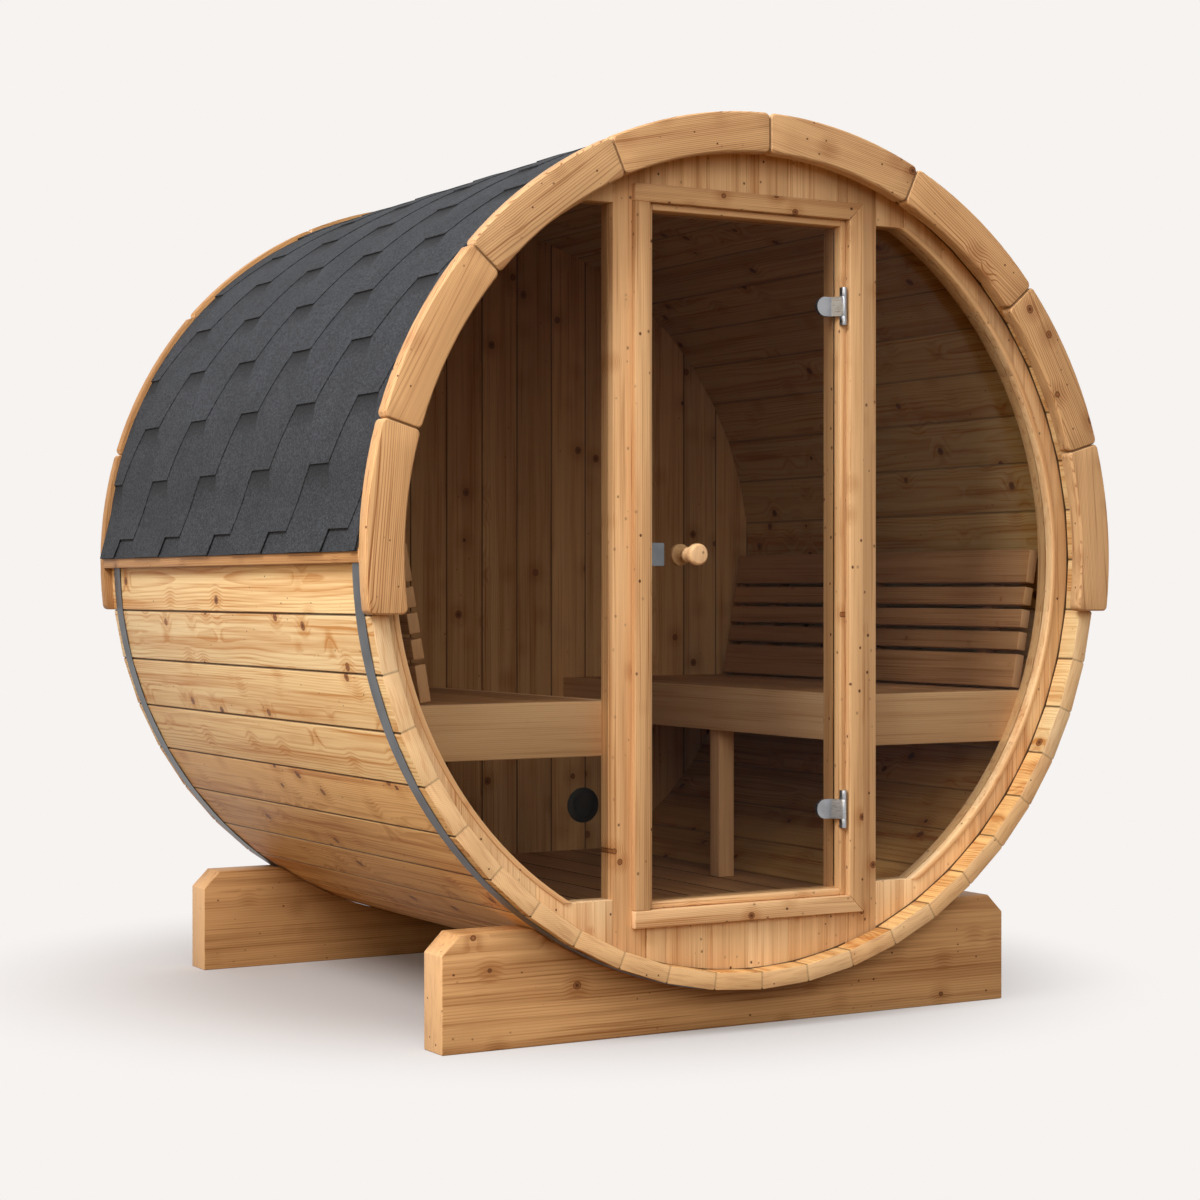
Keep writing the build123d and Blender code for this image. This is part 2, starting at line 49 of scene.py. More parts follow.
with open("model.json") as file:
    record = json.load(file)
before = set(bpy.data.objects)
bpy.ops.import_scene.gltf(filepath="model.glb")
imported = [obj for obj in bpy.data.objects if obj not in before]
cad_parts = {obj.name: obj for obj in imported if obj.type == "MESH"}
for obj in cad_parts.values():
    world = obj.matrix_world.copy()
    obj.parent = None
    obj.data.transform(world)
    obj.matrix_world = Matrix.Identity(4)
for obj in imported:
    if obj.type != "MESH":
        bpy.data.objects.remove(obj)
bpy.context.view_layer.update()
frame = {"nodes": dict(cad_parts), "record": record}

# Places from the frame
glass_low, glass_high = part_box("door_glass")
axis_height = (glass_low.z + glass_high.z) / 2
stave_low, stave_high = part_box("staves_top_right")
stave_radius = stave_high.z - axis_height
front_end = stave_low.y
rear_end = stave_high.y
roof_low, roof_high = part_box("roof")
cabin_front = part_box("front_post_left")[1].y
cabin_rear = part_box("rear_wall")[0].y

# Mesh clean-up
weld_distance = 0.00002
flat_angle = radians(0.4)
ease_angle = radians(28)
flush_limit = 0.9              # share of the flush direction in an edge, above which it stays sharp
smooth_angle = radians(50)

# Timber
stave_ease = 0.0016
board_ease = 0.0022
trim_ease = 0.004
cradle_ease = 0.003
wall_board_pitch = 0.117
wall_joint_ease = 0.0011
stave_depth = 0.042
wall_shadow_width = 0.0015              # width of the painted shadow ring on the front wall next to the staves
wall_shadow_radius = stave_radius - stave_depth - wall_shadow_width
rear_board_pitch = 0.117
rear_joint_offset = 0.058
rear_joint_ease = 0.002
joint_line = (0.0012, 0.0034)  # a joint is darkest up to the first distance from a board's side
joint_colour = (0.055, 0.022, 0.008, 1)
dark_knot = (0.07, 0.021, 0.007, 1)
red_knot = (0.27, 0.098, 0.03, 1)
pin_knot = (0.10, 0.032, 0.010, 1)
warm_cast = (1.0, 0.93, 0.83, 1)
# Painted shade: colour that darkens the staves' faces in the cabin
painted_interior_shade = (0.67, 0.63, 0.51, 1)
lip_shade = 0.4                # share of the painted interior shade on the staves outside the end walls
sawn_end = (0.84, 0.565, 0.33, 1)
sawn_end_share = 0.5

# Stretch of the patterns of wood along, across and into a board, in cells or waves per metre
knot_stretch = (8.5, 9.5, 0)
pin_stretch = (27, 32, 32)
wave_stretch = (1.5, 5.0, 5.0)
fibre_stretch = (5.0, 340.0, 340.0)
streak_stretch = (0.8, 26.0, 26.0)
line_stretch = (1.8, 130.0, 130.0)
patch_stretch = (2.2, 6.0, 6.0)
end_stretch = (0, 12, 130)

# Values between which a pattern goes from none to full
streak_range = (0.42, 0.70)
line_range = (0.54, 0.70)
fibre_range = (0.3, 0.75)
patch_range = (0.25, 0.75)
end_line_range = (0.46, 0.68)
end_facing = (0.6, 0.9)        # share of a face's direction along the grain
late_end = 0.92                # share of a ring where late wood is full
early_start = 0.94             # share of a ring where early wood begins again
halo_range = (0.34, 0.05)      # distances from the middle of a knot, in cells
knot_range = (0.085, 0.068)
core_range = (0.055, 0.02)
edge_range = (0.058, 0.072)
pin_core_share = 0.6
pin_choice = (0.3, 0.7)

# Weights of the patterns of wood
ring_weight = (0.35, 1.0)      # lowest and highest
line_weight = 0.45
fibre_weight = 0.2
end_line_weight = 0.55
halo_weight = 0.35
knot_weight = 0.9
core_weight = 0.85
pin_weight = (0.3, 0.95)       # lowest and highest
warm_weight = 0.8
ring_bend = 0.006              # of a ring round a knot
tone_to_knots = 91.0           # moves the knots from board to board
tone_to_warmth = 7.3           # makes warmth differ from lightness
joint_weight = 0.85
joint_loss_inside = 0.35
joint_loss_on_ends = 0.7
# Painted shadow ring: width of its soft inner edge
painted_shadow_blur = 0.002
speck_range = (0.2, 0.8)       # range of a noise that sets a roughness
wood_roughness = (0.42, 0.58)
wood_sheen = 0.18
wood_relief = (0.22, 0.0007)   # strength and depth

# Nearest and farthest place of the pith beside the middle of a board and behind its face
straight_grain = ((0.04, 0.15), (0.015, 0.07))
trim_grain = ((0.05, 0.12), (0.02, 0.07))
stave_grain = ((0.0, 0.07), (0.05, 0.13))

# Bead along the round edge of a pane
bead_width = 0.013
bead_height = 0.004
bead_overlength = 0.03         # angle that is cut off level at both ends
bead_lap = 0.010               # of the glass behind the wood
bead_steps = 60
bead_curve = 8
bead_tone = 0.8
bead_fullness = 0.5            # power that makes the section of the bead round

# Fittings
metal_ease = 0.0008
vent_ease = 0.0012
brush_lengthwise = (40, 40, 900)
brush_round = (6, 900, 6)
brush_roughness = 0.14         # added where the brush marks are deep
brush_relief = (0.06, 0.0004)  # strength and depth
tarnish_stretch = (14, 14, 14)
tarnish_level = 0.72
vent_grain_stretch = (600, 600, 600)
vent_cloud_stretch = (20, 20, 20)
vent_pale_level = 1.5
vent_roughness = (0.42, 0.56)
vent_relief = (0.12, 0.0003)   # strength and depth

# Glass
glass_colour = (0.78, 0.76, 0.73, 1)
glass_shadow = (0.80, 0.78, 0.75, 1)
glass_mirror = (0.04, 0.04, 0.04, 1)
glass_index = 1.45
glass_smear_stretch = (3, 3, 5)
glass_smear = 0.03             # highest roughness

# Shingles
roof_radius = 1.0455           # base sheet on the barrel
eave_kick = radians(7)         # angle above the level where the covering leaves the barrel
felt_thickness = 0.0022
tab_pitch = 0.351
tab_flat = 0.112
first_flat = 0.052             # lowest row of flats above the eave
exposure = 0.156
course_count = 12
strip_length_share = 2.1       # length of a strip over its exposure
shade_share = 0.38             # length of the printed shadow band and its painted shade under a tab, over the exposure
front_flat_offset = 0.111      # first flat behind the front end of the staves
tab_rows = 5
strip_rows = 11
cap_half_width = 0.13
cap_exposure = 0.17
cap_lap = 1.2                  # length of a ridge piece over its exposure
cap_lift = 2.5                 # of the ridge pieces, over the felt's thickness
cap_step = 0.5                 # from one ridge piece to the next, over the felt's thickness
cap_rows = 6
base_rows = 48
base_tone = 0.3
strip_tone = 0.5
eave_layers = 3                # sheets of felt at the eave
grit_stretch = (210, 210, 210)  # grains per metre
speck_stretch = (150, 150, 150)
speck_share = 0.5              # of specks in the shade, beside the grains
cloud_stretch = (9, 9, 9)
cloud_level = (0.88, 1.1)      # lowest and highest level of the colour
tab_level = (0.95, 1.05)
felt_roughness = (0.78, 0.95)
felt_dark = (0.002, 0.0022, 0.0028, 1)
felt_pale = (0.057, 0.061, 0.070, 1)
felt_shade = 0.2               # level of the colour where the printed band and its painted shade are deepest
felt_sheen = 0.3
felt_relief = (0.8, 0.0018)    # strength and depth

# Camera of the photograph
camera_place = (-3.3469, -5.8758, 1.0619)
camera_yaw = radians(29.96)
camera_pitch = radians(-0.235)
camera_lens = 75.25
camera_sensor = 36.0
camera_reach = 200.0

# Studio
background_colour = (0.925, 0.895, 0.876, 1)
floor_colour = (0.45, 0.425, 0.41, 1)
floor_bounce = (0.13, 0.062, 0.018, 1)
floor_glow = (0.04, 0.03, 0.025, 1)
sky_colour = (0.98, 0.98, 1.0, 1)
horizon_colour = (1.0, 0.80, 0.58, 1)
sky_rise = (0.0, 0.75)         # the sky brightens between these shares of the way up
sky_strength = (0.10, 0.95)
floor_half = 30.0
floor_roughness = 0.9
floor_sheen = 0.1
floor_clear_centre = (0, 0.3, 0)
floor_clear_radius = (0.75, 1.75)  # floor fades into the background between these distances

choice = random.Random(7)


class Nodes:
    """Short calls that build the nodes of one material."""

    def __init__(self, owner):
        self.owner = owner
        owner.use_nodes = True
        self.tree = owner.node_tree
        self.tree.nodes.clear()

    def add(self, kind, inputs=None, **settings):
        """A new node with its settings, and its inputs fed from sockets or set to values."""
        node = self.tree.nodes.new("ShaderNode" + kind)
        for key, value in settings.items():
            setattr(node, key, value)
        for key, value in (inputs or {}).items():
            if isinstance(value, bpy.types.NodeSocket):
                self.tree.links.new(value, node.inputs[key])
            else:
                node.inputs[key].default_value = value
        return node

    def attribute(self, name):
        return self.add("Attribute", attribute_name=name)

    def maths(self, operation, first, second=0.0, third=0.0):
        node = self.add("Math", {0: first, 1: second, 2: third}, operation=operation)
        return node.outputs[0]

    def scaled(self, vector, factors):
        node = self.add("VectorMath", {0: vector, 1: factors}, operation="MULTIPLY")
        return node.outputs["Vector"]

    def noise(self, vector, detail=2.0, roughness=0.5):
        inputs = {"Vector": vector, "Scale": 1.0, "Detail": detail, "Roughness": roughness}
        return self.add("TexNoise", inputs)

    def cells(self, vector, feature="F1"):
        return self.add("TexVoronoi", {"Vector": vector, "Scale": 1.0}, feature=feature)

    def ranged(self, value, start, end, low=0.0, high=1.0, smooth=True):
        """The value moved from one range to another and kept inside it."""
        inputs = {"Value": value, "From Min": start, "From Max": end, "To Min": low, "To Max": high}
        kind = "SMOOTHSTEP" if smooth else "LINEAR"
        return self.add("MapRange", inputs, interpolation_type=kind).outputs["Result"]

    def mixed(self, factor, first, second, blend="MIX"):
        node = self.add("Mix", {0: factor, 6: first, 7: second}, data_type="RGBA", blend_type=blend)
        return node.outputs[2]

    def bump(self, height, strength, distance):
        return self.add("Bump", {"Height": height, "Strength": strength, "Distance": distance}).outputs[0]

    def principled(self, inputs):
        return self.add("BsdfPrincipled", inputs).outputs[0]

    def finish(self, shader):
        self.add("OutputMaterial", {"Surface": shader})
        return self.owner


def wood(name, pale, deep, ring_pitch=0.0045, ring_share=0.5, late_from=0.4, sway=0.03,
         streaks=0.45, level=(0.9, 1.05), knots=1.0, pin_reach=0.1, painted_shadow_radius=None):
    """Sawn softwood: growth rings about a pith, fibres, streaks, knots, pin knots and dark joints, with
    painted shade on the staves in the cabin and a painted shadow ring where the front wall meets the
    staves.
    """
    n = Nodes(bpy.data.materials.new(name))
    grain = n.attribute("grain").outputs["Vector"]
    tone = n.attribute("tone").outputs["Fac"]
    # Knots lie where round cells cross the plane of the board
    board = n.add("CombineXYZ", {"Z": n.maths("MULTIPLY", tone, tone_to_knots)}).outputs[0]
    across = n.scaled(grain, knot_stretch)
    knot_place = n.add("VectorMath", {0: across, 1: board}, operation="ADD").outputs["Vector"]
    knot_gap = n.maths("DIVIDE", n.cells(knot_place).outputs["Distance"], knots)
    halo = n.ranged(knot_gap, *halo_range)
    pin_cell = n.cells(n.scaled(grain, pin_stretch))
    # Growth rings, bent by slow waves and round the knots
    wave = n.noise(n.scaled(grain, wave_stretch), 1.5).outputs["Color"]
    wave = n.add("VectorMath", {0: wave, 1: (0.5, 0.5, 0.5)}, operation="SUBTRACT").outputs["Vector"]
    wave = n.scaled(wave, (0, sway, sway))
    section = n.scaled(grain, (0, 1, 1))
    bent = n.add("VectorMath", {0: section, 1: wave}, operation="ADD").outputs["Vector"]
    radius = n.add("VectorMath", {0: bent}, operation="LENGTH").outputs["Value"]
    radius = n.maths("MULTIPLY_ADD", halo, ring_bend, radius)
    phase = n.maths("FRACT", n.maths("DIVIDE", radius, ring_pitch))
    late = n.ranged(phase, late_from, late_end)
    early = n.ranged(phase, 1.0, early_start)
    ring = n.maths("MULTIPLY", late, early)
    fibre = n.noise(n.scaled(grain, fibre_stretch), 3.0, 0.6).outputs["Fac"]
    streak = n.noise(n.scaled(grain, streak_stretch), 3.0, 0.6).outputs["Fac"]
    line = n.noise(n.scaled(grain, line_stretch), 2.0, 0.55).outputs["Fac"]
    patch = n.noise(n.scaled(grain, patch_stretch), 1.0).outputs["Fac"]
    ring = n.maths("MULTIPLY", ring, n.ranged(patch, *patch_range, *ring_weight))
    shade = n.maths("MULTIPLY", n.ranged(streak, *streak_range), streaks)
    shade = n.maths("MULTIPLY_ADD", n.ranged(line, *line_range), line_weight, shade)
    shade = n.maths("MULTIPLY_ADD", n.ranged(fibre, *fibre_range), fibre_weight, shade)
    # Sawn ends are paler and show lines of their own
    facing = n.add("VectorMath", {
        0: n.add("NewGeometry").outputs["Normal"],
        1: n.attribute("along").outputs["Vector"],
    }, operation="DOT_PRODUCT").outputs["Value"]
    end = n.ranged(n.maths("ABSOLUTE", facing), *end_facing)
    end_line = n.noise(n.scaled(grain, end_stretch), 2.0, 0.6).outputs["Fac"]
    end_shade = n.maths("MULTIPLY", n.ranged(end_line, *end_line_range), end_line_weight)
    shade = n.add("Mix", {0: end, 2: shade, 3: end_shade}, data_type="FLOAT").outputs[0]
    shade = n.maths("MULTIPLY_ADD", ring, ring_share, shade)
    shade = n.maths("MULTIPLY_ADD", halo, halo_weight, shade)
    colour = n.mixed(n.maths("MINIMUM", shade, 1.0), pale, deep)
    colour = n.mixed(n.maths("MULTIPLY", end, sawn_end_share), colour, sawn_end)
    # Boards differ in lightness and warmth
    spread_level = n.ranged(tone, 0.0, 1.0, *level, smooth=False)
    lightness = n.add("Mix", {0: end, 2: spread_level, 3: 1.0}, data_type="FLOAT").outputs[0]
    colour = n.mixed(1.0, colour, lightness, "MULTIPLY")
    warmth = n.maths("FRACT", n.maths("MULTIPLY", tone, tone_to_warmth))
    colour = n.mixed(n.maths("MULTIPLY", warmth, warm_weight), colour, warm_cast, "MULTIPLY")
    # Knots are red with a dark core and edge, and pin knots differ in depth
    knot_face = n.ranged(knot_gap, *knot_range)
    colour = n.mixed(n.maths("MULTIPLY", knot_face, knot_weight), colour, red_knot)
    core = n.ranged(knot_gap, *core_range)
    edge = n.maths("MULTIPLY", knot_face, n.ranged(knot_gap, *edge_range))
    dark = n.maths("MULTIPLY", n.maths("MAXIMUM", core, edge), core_weight)
    colour = n.mixed(dark, colour, dark_knot)
    pin = n.ranged(pin_cell.outputs["Distance"], pin_reach, pin_core_share * pin_reach)
    pin = n.maths("MULTIPLY", pin, n.ranged(pin_cell.outputs["Color"], *pin_choice, *pin_weight))
    colour = n.mixed(pin, colour, pin_knot)
    # Dark joints between boards that lie side by side, fainter on their ends
    rim_place = n.add("SeparateXYZ", {0: n.attribute("rim").outputs["Vector"]})
    inward = n.maths("SUBTRACT", 1.0, n.maths("ABSOLUTE", rim_place.outputs["X"]))
    gap = n.maths("MULTIPLY", inward, rim_place.outputs["Y"])
    face = n.maths("SUBTRACT", 1.0, end)
    joint = n.ranged(gap, *joint_line, 1.0, 0.0)
    joint = n.maths("MULTIPLY", joint, n.maths("MULTIPLY_ADD", end, -joint_loss_on_ends, 1.0))
    # Painted shadow: a dark ring on the front wall's face next to the staves
    if painted_shadow_radius:
        place = n.add("TexCoord").outputs["Object"]
        axis = (0, 0, axis_height)
        offset = n.add("VectorMath", {0: place, 1: axis}, operation="SUBTRACT").outputs["Vector"]
        round_axis = n.scaled(offset, (1, 0, 1))
        reach = n.add("VectorMath", {0: round_axis}, operation="LENGTH").outputs["Value"]
        joint = n.maths("MAXIMUM", joint, n.ranged(reach, painted_shadow_radius - painted_shadow_blur, painted_shadow_radius))
    # Painted shade: the staves' faces in the cabin are darkened, and their lips outside the end walls
    # partly, with fainter joints
    inside = n.maths("MULTIPLY", rim_place.outputs["Z"], face)
    weight = n.maths("MULTIPLY_ADD", inside, -joint_loss_inside, joint_weight)
    joint = n.maths("MULTIPLY", joint, weight)
    colour = n.mixed(joint, colour, joint_colour)
    colour = n.mixed(inside, colour, painted_interior_shade, "MULTIPLY")
    shader = n.principled({
        "Base Color": colour,
        "Roughness": n.ranged(fibre, *speck_range, *wood_roughness),
        "Specular IOR Level": wood_sheen,
        "Normal": n.bump(fibre, *wood_relief),
    })
    return n.finish(shader)


def felt(name):
    """Bitumen shingle with mineral grit, darker under the flat ends of the tabs above: a printed shadow
    band with painted shade.
    """
    n = Nodes(bpy.data.materials.new(name))
    place = n.add("TexCoord").outputs["Object"]
    tone = n.attribute("tone").outputs["Fac"]
    shadow_band = n.attribute("shadow_band").outputs["Fac"]
    grit = n.cells(n.scaled(place, grit_stretch))
    speck = n.noise(n.scaled(place, speck_stretch), 3.0, 0.75).outputs["Fac"]
    cloud = n.noise(n.scaled(place, cloud_stretch), 3.0).outputs["Fac"]
    specks = n.ranged(speck, 0.36, 0.66, 0.0, speck_share)
    shade = n.maths("MULTIPLY_ADD", grit.outputs["Color"], 1 - speck_share, specks)
    colour = n.mixed(shade, felt_dark, felt_pale)
    level = n.ranged(cloud, 0.3, 0.7, *cloud_level)
    level = n.maths("MULTIPLY", level, n.ranged(tone, 0, 1, *tab_level))
    # Printed shadow band with painted shade under the flats of the tabs above
    level = n.maths("MULTIPLY", level, n.ranged(shadow_band, 0.0, 1.0, 1.0, felt_shade, smooth=False))
    colour = n.mixed(1.0, colour, level, "MULTIPLY")
    height = n.maths("SUBTRACT", speck, grit.outputs["Distance"])
    shader = n.principled({
        "Base Color": colour,
        "Roughness": n.ranged(speck, *speck_range, *felt_roughness),
        "Specular IOR Level": felt_sheen,
        "Normal": n.bump(height, *felt_relief),
    })
    return n.finish(shader)


def metal(name, colour, roughness, brushed):
    """Metal with slight tarnish and fine brush marks, closest along the axis with the largest factor."""
    n = Nodes(bpy.data.materials.new(name))
    place = n.add("TexCoord").outputs["Object"]
    marks = n.noise(n.scaled(place, brushed), 3.0, 0.6).outputs["Fac"]
    tarnish = n.noise(n.scaled(place, tarnish_stretch), 3.0).outputs["Fac"]
    gloss = n.maths("MULTIPLY_ADD", n.ranged(marks, 0.3, 0.7), brush_roughness, roughness)
    dim = tuple(tarnish_level * part for part in colour[:3]) + (1,)
    shader = n.principled({
        "Base Color": n.mixed(n.ranged(tarnish, 0.35, 0.75), colour, dim),
        "Metallic": 1.0,
        "Roughness": gloss,
        "Normal": n.bump(marks, *brush_relief),
    })
    return n.finish(shader)


def plastic(name, colour):
    """Dark moulded plastic with a fine matt grain."""
    n = Nodes(bpy.data.materials.new(name))
    place = n.add("TexCoord").outputs["Object"]
    grain = n.noise(n.scaled(place, vent_grain_stretch), 2.0).outputs["Fac"]
    cloud = n.noise(n.scaled(place, vent_cloud_stretch), 2.0).outputs["Fac"]
    pale = tuple(vent_pale_level * part for part in colour[:3]) + (1,)
    shader = n.principled({
        "Base Color": n.mixed(n.ranged(cloud, 0.3, 0.7), colour, pale),
        "Roughness": n.ranged(grain, *speck_range, *vent_roughness),
        "Normal": n.bump(grain, *vent_relief),
    })
    return n.finish(shader)


def glass(name):
    """Lightly toned glass that lets the lamps through."""
    n = Nodes(bpy.data.materials.new(name))
    place = n.add("TexCoord").outputs["Object"]
    smear = n.noise(n.scaled(place, glass_smear_stretch), 4.0, 0.6).outputs["Fac"]
    clear = n.principled({
        "Base Color": glass_colour,
        "Roughness": n.ranged(smear, 0.55, 0.8, 0.0, glass_smear),
        "IOR": glass_index,
        "Specular Tint": glass_mirror,
        "Transmission Weight": 1.0,
    })
    through = n.add("BsdfTransparent", {"Color": glass_shadow}).outputs[0]
    path = n.add("LightPath")
    lamp = n.maths("MAXIMUM", path.outputs["Is Shadow Ray"], path.outputs["Is Diffuse Ray"])
    return n.finish(n.add("MixShader", {0: lamp, 1: clear, 2: through}).outputs[0])


def node_solids(name):
    """The closed solids of a CAD node, each as a mesh of its own."""
    whole = bmesh.new()
    whole.from_mesh(frame["nodes"][name].data)
    bmesh.ops.remove_doubles(whole, verts=whole.verts[:], dist=weld_distance)
    whole.verts.index_update()
    whole.verts.ensure_lookup_table()
    owner = {}
    for start in whole.verts:
        if start.index in owner:
            continue
        queue = [start]
        owner[start.index] = start.index
        while queue:
            here = queue.pop()
            for edge in here.link_edges:
                other = edge.other_vert(here)
                if other.index not in owner:
                    owner[other.index] = start.index
                    queue.append(other)
    solids = []
    for first in sorted(set(owner.values())):
        part = bmesh.new()
        made = {v.index: part.verts.new(v.co) for v in whole.verts if owner[v.index] == first}
        for face in whole.faces:
            if owner[face.verts[0].index] == first:
                part.faces.new([made[v.index] for v in face.verts])
        solids.append(part)
    whole.free()
    return solids


def cut_into_boards(solid, places, axis=0):
    """A solid cut at places along an axis, as separate closed boards from low to high."""
    boards = []
    normal = Vector([float(index == axis) for index in range(3)])
    limits = [None, *places, None]
    for low, high in zip(limits, limits[1:]):
        board = solid.copy()
        for limit, outward in ((low, -normal), (high, normal)):
            if limit is None:
                continue
            cut = bmesh.ops.bisect_plane(
                board,
                geom=board.verts[:] + board.edges[:] + board.faces[:],
                plane_co=normal * limit,
                plane_no=outward,
                clear_outer=True,
            )
            edges = [part for part in cut["geom_cut"] if isinstance(part, bmesh.types.BMEdge)]
            if edges:
                bmesh.ops.edgeloop_fill(board, edges=edges)
        if board.faces:
            boards.append(board)
        else:
            board.free()
    solid.free()
    return boards


def spread(bm):
    """Lowest and highest corner of a mesh."""
    low = Vector([min(v.co[i] for v in bm.verts) for i in range(3)])
    high = Vector([max(v.co[i] for v in bm.verts) for i in range(3)])
    return low, high


def along_longest(bm):
    """Grain along the longest side of a board, with its depth along the shortest."""
    low, high = spread(bm)
    order = sorted(range(3), key=lambda index: high[index] - low[index])
    unit = Matrix.Identity(3)
    return unit[order[2]].copy(), unit[order[0]].copy()


def along_height(bm):
    """Grain upright, with the depth through the wall."""
    return Vector((0, 0, 1)), Vector((0, 1, 0))


def along_stave(bm):
    """Grain along the barrel, with the depth away from its axis."""
    low, high = spread(bm)
    middle = (low + high) / 2
    outward = Vector((middle.x, 0, middle.z - axis_height)).normalized()
    return Vector((0, 1, 0)), outward


def along_arc(bm):
    """Grain along the chord of an arc about the barrel axis, with the depth along the barrel."""
    middle = sum((v.co for v in bm.verts), Vector()) / len(bm.verts)
    outward = Vector((middle.x, 0, middle.z - axis_height)).normalized()
    return Vector((outward.z, 0, -outward.x)), Vector((0, 1, 0))


def make_faces_whole(bm):
    """Joins the triangles of each flat face."""
    bmesh.ops.dissolve_limit(bm, angle_limit=flat_angle, verts=bm.verts[:], edges=bm.edges[:])


def ease_edges(bm, width, flush):
    """Rounds every sharp edge of a board, apart from those that follow the flush direction."""
    sharp = [e for e in bm.edges if e.is_manifold and e.calc_face_angle(0) > ease_angle]
    if flush:
        lines = {e: (e.verts[1].co - e.verts[0].co).normalized() for e in sharp}
        sharp = [e for e in sharp if abs(lines[e].dot(flush)) < flush_limit]
    if sharp and width:
        bmesh.ops.bevel(
            bm, geom=sharp, offset=width, offset_type="OFFSET", segments=2, profile=0.5,
            affect="EDGES", clamp_overlap=True,
        )


def mark_grain(bm, direction, depth, joints, pith_range):
    """Writes each point's place in the tree, the tone and sides of the board cut from it, and its share
    of painted shade.
    """
    grain_layer = bm.verts.layers.float_vector.new("grain")
    along_layer = bm.verts.layers.float_vector.new("along")
    rim_layer = bm.verts.layers.float_vector.new("rim")
    tone_layer = bm.verts.layers.float.new("tone")
    across = depth.cross(direction)
    local = [Vector((v.co.dot(direction), v.co.dot(across), v.co.dot(depth))) for v in bm.verts]
    low = Vector([min(p[i] for p in local) for i in range(3)])
    high = Vector([max(p[i] for p in local) for i in range(3)])
    middle = (low + high) / 2
    size = high - low
    beside, behind = pith_range
    pith = Vector((
        middle.x + choice.uniform(-40, 40),
        middle.y + choice.choice((-1, 1)) * choice.uniform(*beside),
        middle.z + choice.choice((-1, 1)) * (size.z / 2 + choice.uniform(*behind)),
    ))
    tone = choice.random()
    half = size.y / 2
    for vert, place in zip(bm.verts, local):
        vert[grain_layer] = place - pith
        vert[along_layer] = direction
        vert[tone_layer] = tone
        share = (place.y - middle.y) / half * joints(vert.co)
        inside = 0.0
        # Painted shade on the staves' inner faces: full in the cabin, partial on the lips outside the end
        # walls
        if joints is stave_joints and place.z < middle.z:
            inside = 1.0 if cabin_front < vert.co.y < cabin_rear else lip_shade
        vert[rim_layer] = (share, half, inside)


def no_joints(place):
    """For boards whose sides show."""
    return 0.0


def flat_joints(place):
    """For boards side by side in a flat wall or floor."""
    return 1.0


def stave_joints(place):
    """For staves, which narrow towards the axis."""
    return stave_radius / Vector((place.x, 0, place.z - axis_height)).length


def mark_arc_ends(bm):
    """Marks the joints at the ends of a trim arc, apart from its free end below the axis."""
    rim_layer = bm.verts.layers.float_vector["rim"]
    turns = [atan2(v.co.x, v.co.z - axis_height) for v in bm.verts]
    middle = (min(turns) + max(turns)) / 2
    half = (max(turns) - min(turns)) / 2
    for vert, turn in zip(bm.verts, turns):
        share = (turn - middle) / half if vert.co.z > axis_height else 0.0
        vert[rim_layer] = (share, half * stave_radius, 0)


def joined(name, boards):
    """One object from several boards."""
    mesh = bpy.data.meshes.new(name)
    whole = bmesh.new()
    for board in boards:
        bmesh.ops.recalc_face_normals(board, faces=board.faces[:])
        part = bpy.data.meshes.new("part")
        board.to_mesh(part)
        whole.from_mesh(part)
        bpy.data.meshes.remove(part)
        board.free()
    whole.to_mesh(mesh)
    whole.free()
    mesh.polygons.foreach_set("use_smooth", [True] * len(mesh.polygons))
    mesh.set_sharp_from_angle(angle=smooth_angle)
    piece = bpy.data.objects.new(name, mesh)
    bpy.context.scene.collection.objects.link(piece)
    return piece


def timber(node, material, ease, direction=along_longest, cuts=None, joints=no_joints,
           pith_range=straight_grain, edges=None):
    """Boards of a CAD node with eased edges and a grain of their own, in its place."""
    boards = []
    for solid in node_solids(node):
        boards += [solid] if cuts is None else cut_into_boards(solid, cuts)
    for board in boards:
        lines = direction(board)
        make_faces_whole(board)
        ease_edges(board, ease, lines[1] if joints is stave_joints else None)
        mark_grain(board, *lines, joints, pith_range)
        if edges:
            edges(board)
    piece = joined(f"{node}_boards", boards)
    piece.data.materials.append(material)
    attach(piece, "door" if node in door_nodes else "cabin")
    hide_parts(node)
    return piece


def dress(node, material, ease=0.0):
    """A CAD node kept as it is, with its material and slightly rounded edges."""
    piece = frame["nodes"][node]
    piece.data.materials.clear()
    piece.data.materials.append(material)
    if ease:
        weld = piece.modifiers.new("weld", "WELD")
        weld.merge_threshold = weld_distance
        bevel = piece.modifiers.new("ease", "BEVEL")
        bevel.width = ease
        bevel.segments = 2
        bevel.limit_method = "ANGLE"
        bevel.angle_limit = ease_angle


def board_joints(low, high, pitch, offset=0.0):
    """Places of upright joints between two limits, at a pitch from an offset."""
    first = floor((low - offset) / pitch) + 1
    last = floor((high - offset) / pitch)
    return [offset + index * pitch for index in range(first, last + 1)]


